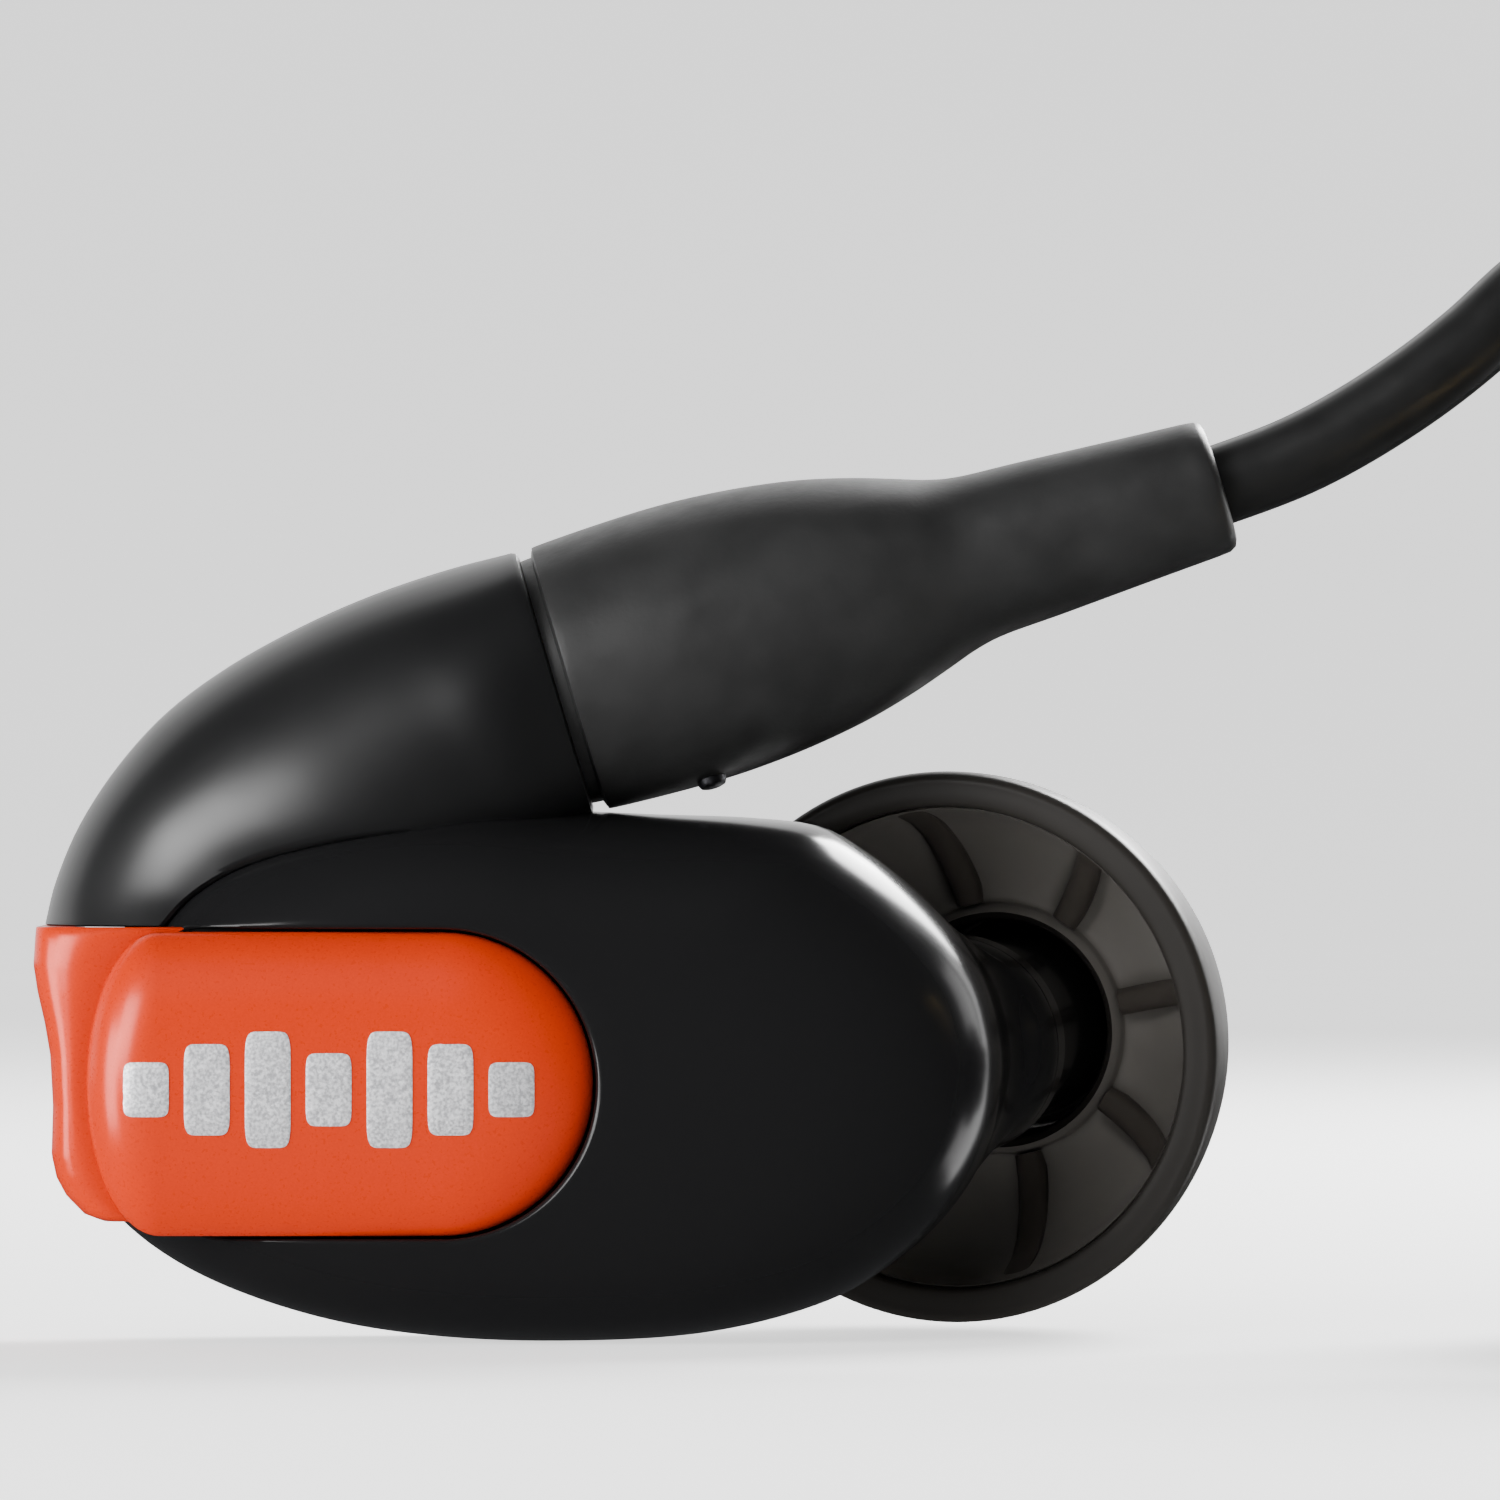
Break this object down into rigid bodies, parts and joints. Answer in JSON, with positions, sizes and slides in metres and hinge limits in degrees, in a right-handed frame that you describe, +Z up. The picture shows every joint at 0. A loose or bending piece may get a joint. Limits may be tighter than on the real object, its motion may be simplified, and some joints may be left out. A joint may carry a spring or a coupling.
{
  "type": "in-ear monitor",
  "caption": "Over-ear in-ear monitor with orange slide-on faceplate, silicone ear tip, snap plug, and its lead coiled to a 3.5 mm plug.",
  "frame": {"origin": "middle of the earpiece's box, without the free lead, on the surface it lies on", "axes": "+X along the shell from the faceplate's open end towards the ear tip, -Y out through the faceplate, +Z up"},
  "size_m": [0.0775, 0.0286, 0.0261],
  "materials": {
    "shell_black": "high-gloss black moulded shell",
    "arm_black": "polished black arm",
    "boot_black": "satin black overmould",
    "faceplate_orange": "orange candy lacquer with fine metal flake, printed silver bars",
    "tip_silicone": "smoke-brown translucent silicone",
    "cable_black": "satin black jacket",
    "strap_black": "woven strap",
    "steel": "satin steel",
    "gold": "gold-plated brass",
    "insulator": "moulded insulator",
    "board_green": "solder-masked board",
    "tube_clear": "clear soft tubing",
    "wire_red": "enamelled wire",
    "wire_blue": "enamelled wire"
  },
  "bodies": {
    "earpiece": {"outer_shell": "shell_black", "inner_shell": "shell_black", "connector_arm": "arm_black", "nozzle_tube": "shell_black", "nozzle_collar": "shell_black", "driver_cradle": "tube_clear", "crossover_board": "board_green", "signal_wire_hot": "wire_red", "signal_wire_ground": "wire_blue", "bass_driver_1": "steel", "bass_driver_2": "steel", "mid_driver_1": "steel", "mid_driver_2": "steel", "treble_driver_1": "steel", "treble_driver_2": "steel", "treble_driver_3": "steel", "treble_driver_4": "steel", "low_sound_tube": "tube_clear", "mid_sound_tube": "tube_clear", "high_sound_tube": "tube_clear", "low_damper": "insulator", "mid_damper": "insulator", "high_damper": "insulator", "socket_barrel": "steel", "socket_insulator": "insulator", "socket_contact": "gold", "screw_insert": "gold", "wax_filter": "steel"},
    "faceplate": {"faceplate": "faceplate_orange"},
    "screw": {"faceplate_screw": "steel"},
    "ear_tip": {"ear_tip": "tip_silicone"},
    "snap_ring": {"plug_snap_ring": "gold"},
    "plug": {"plug_boot": "boot_black", "side_marker": "steel", "plug_insulator": "insulator", "plug_contact": "gold", "plug_ferrule": "steel", "lead_end": "cable_black", "cable_run": "cable_black", "cable_coil": "cable_black", "cable_tail": "cable_black", "coil_tie_1": "strap_black", "coil_tie_2": "strap_black", "jack_strain_relief": "boot_black", "jack_housing": "boot_black", "jack_sleeve": "gold", "jack_insulator_1": "boot_black", "jack_ring": "gold", "jack_insulator_2": "boot_black", "jack_tip": "gold"}
  },
  "joints": [
    {"name": "faceplate_slide", "type": "slide", "parent": "earpiece", "child": "faceplate", "axis": [-1, 0, 0], "range_m": [0, 0.014]},
    {"name": "screw_turn", "type": "hinge", "parent": "faceplate", "child": "screw", "pos_m": [-0.01268, -0.00501, 0.006], "axis": [1, 0, 0], "continuous": true},
    {"name": "tip_pull", "type": "slide", "parent": "earpiece", "child": "ear_tip", "axis": [0.2608, 0.9628, 0.0702], "range_m": [0, 0.01]},
    {"name": "plug_release", "type": "slide", "parent": "earpiece", "child": "snap_ring", "axis": [0.9583, 0, 0.2857], "range_m": [0, 0.006]},
    {"name": "plug_swivel", "type": "hinge", "parent": "snap_ring", "child": "plug", "pos_m": [-0.00185, -0.00341, 0.0146], "axis": [0.9583, 0, 0.2857], "continuous": true}
  ]
}
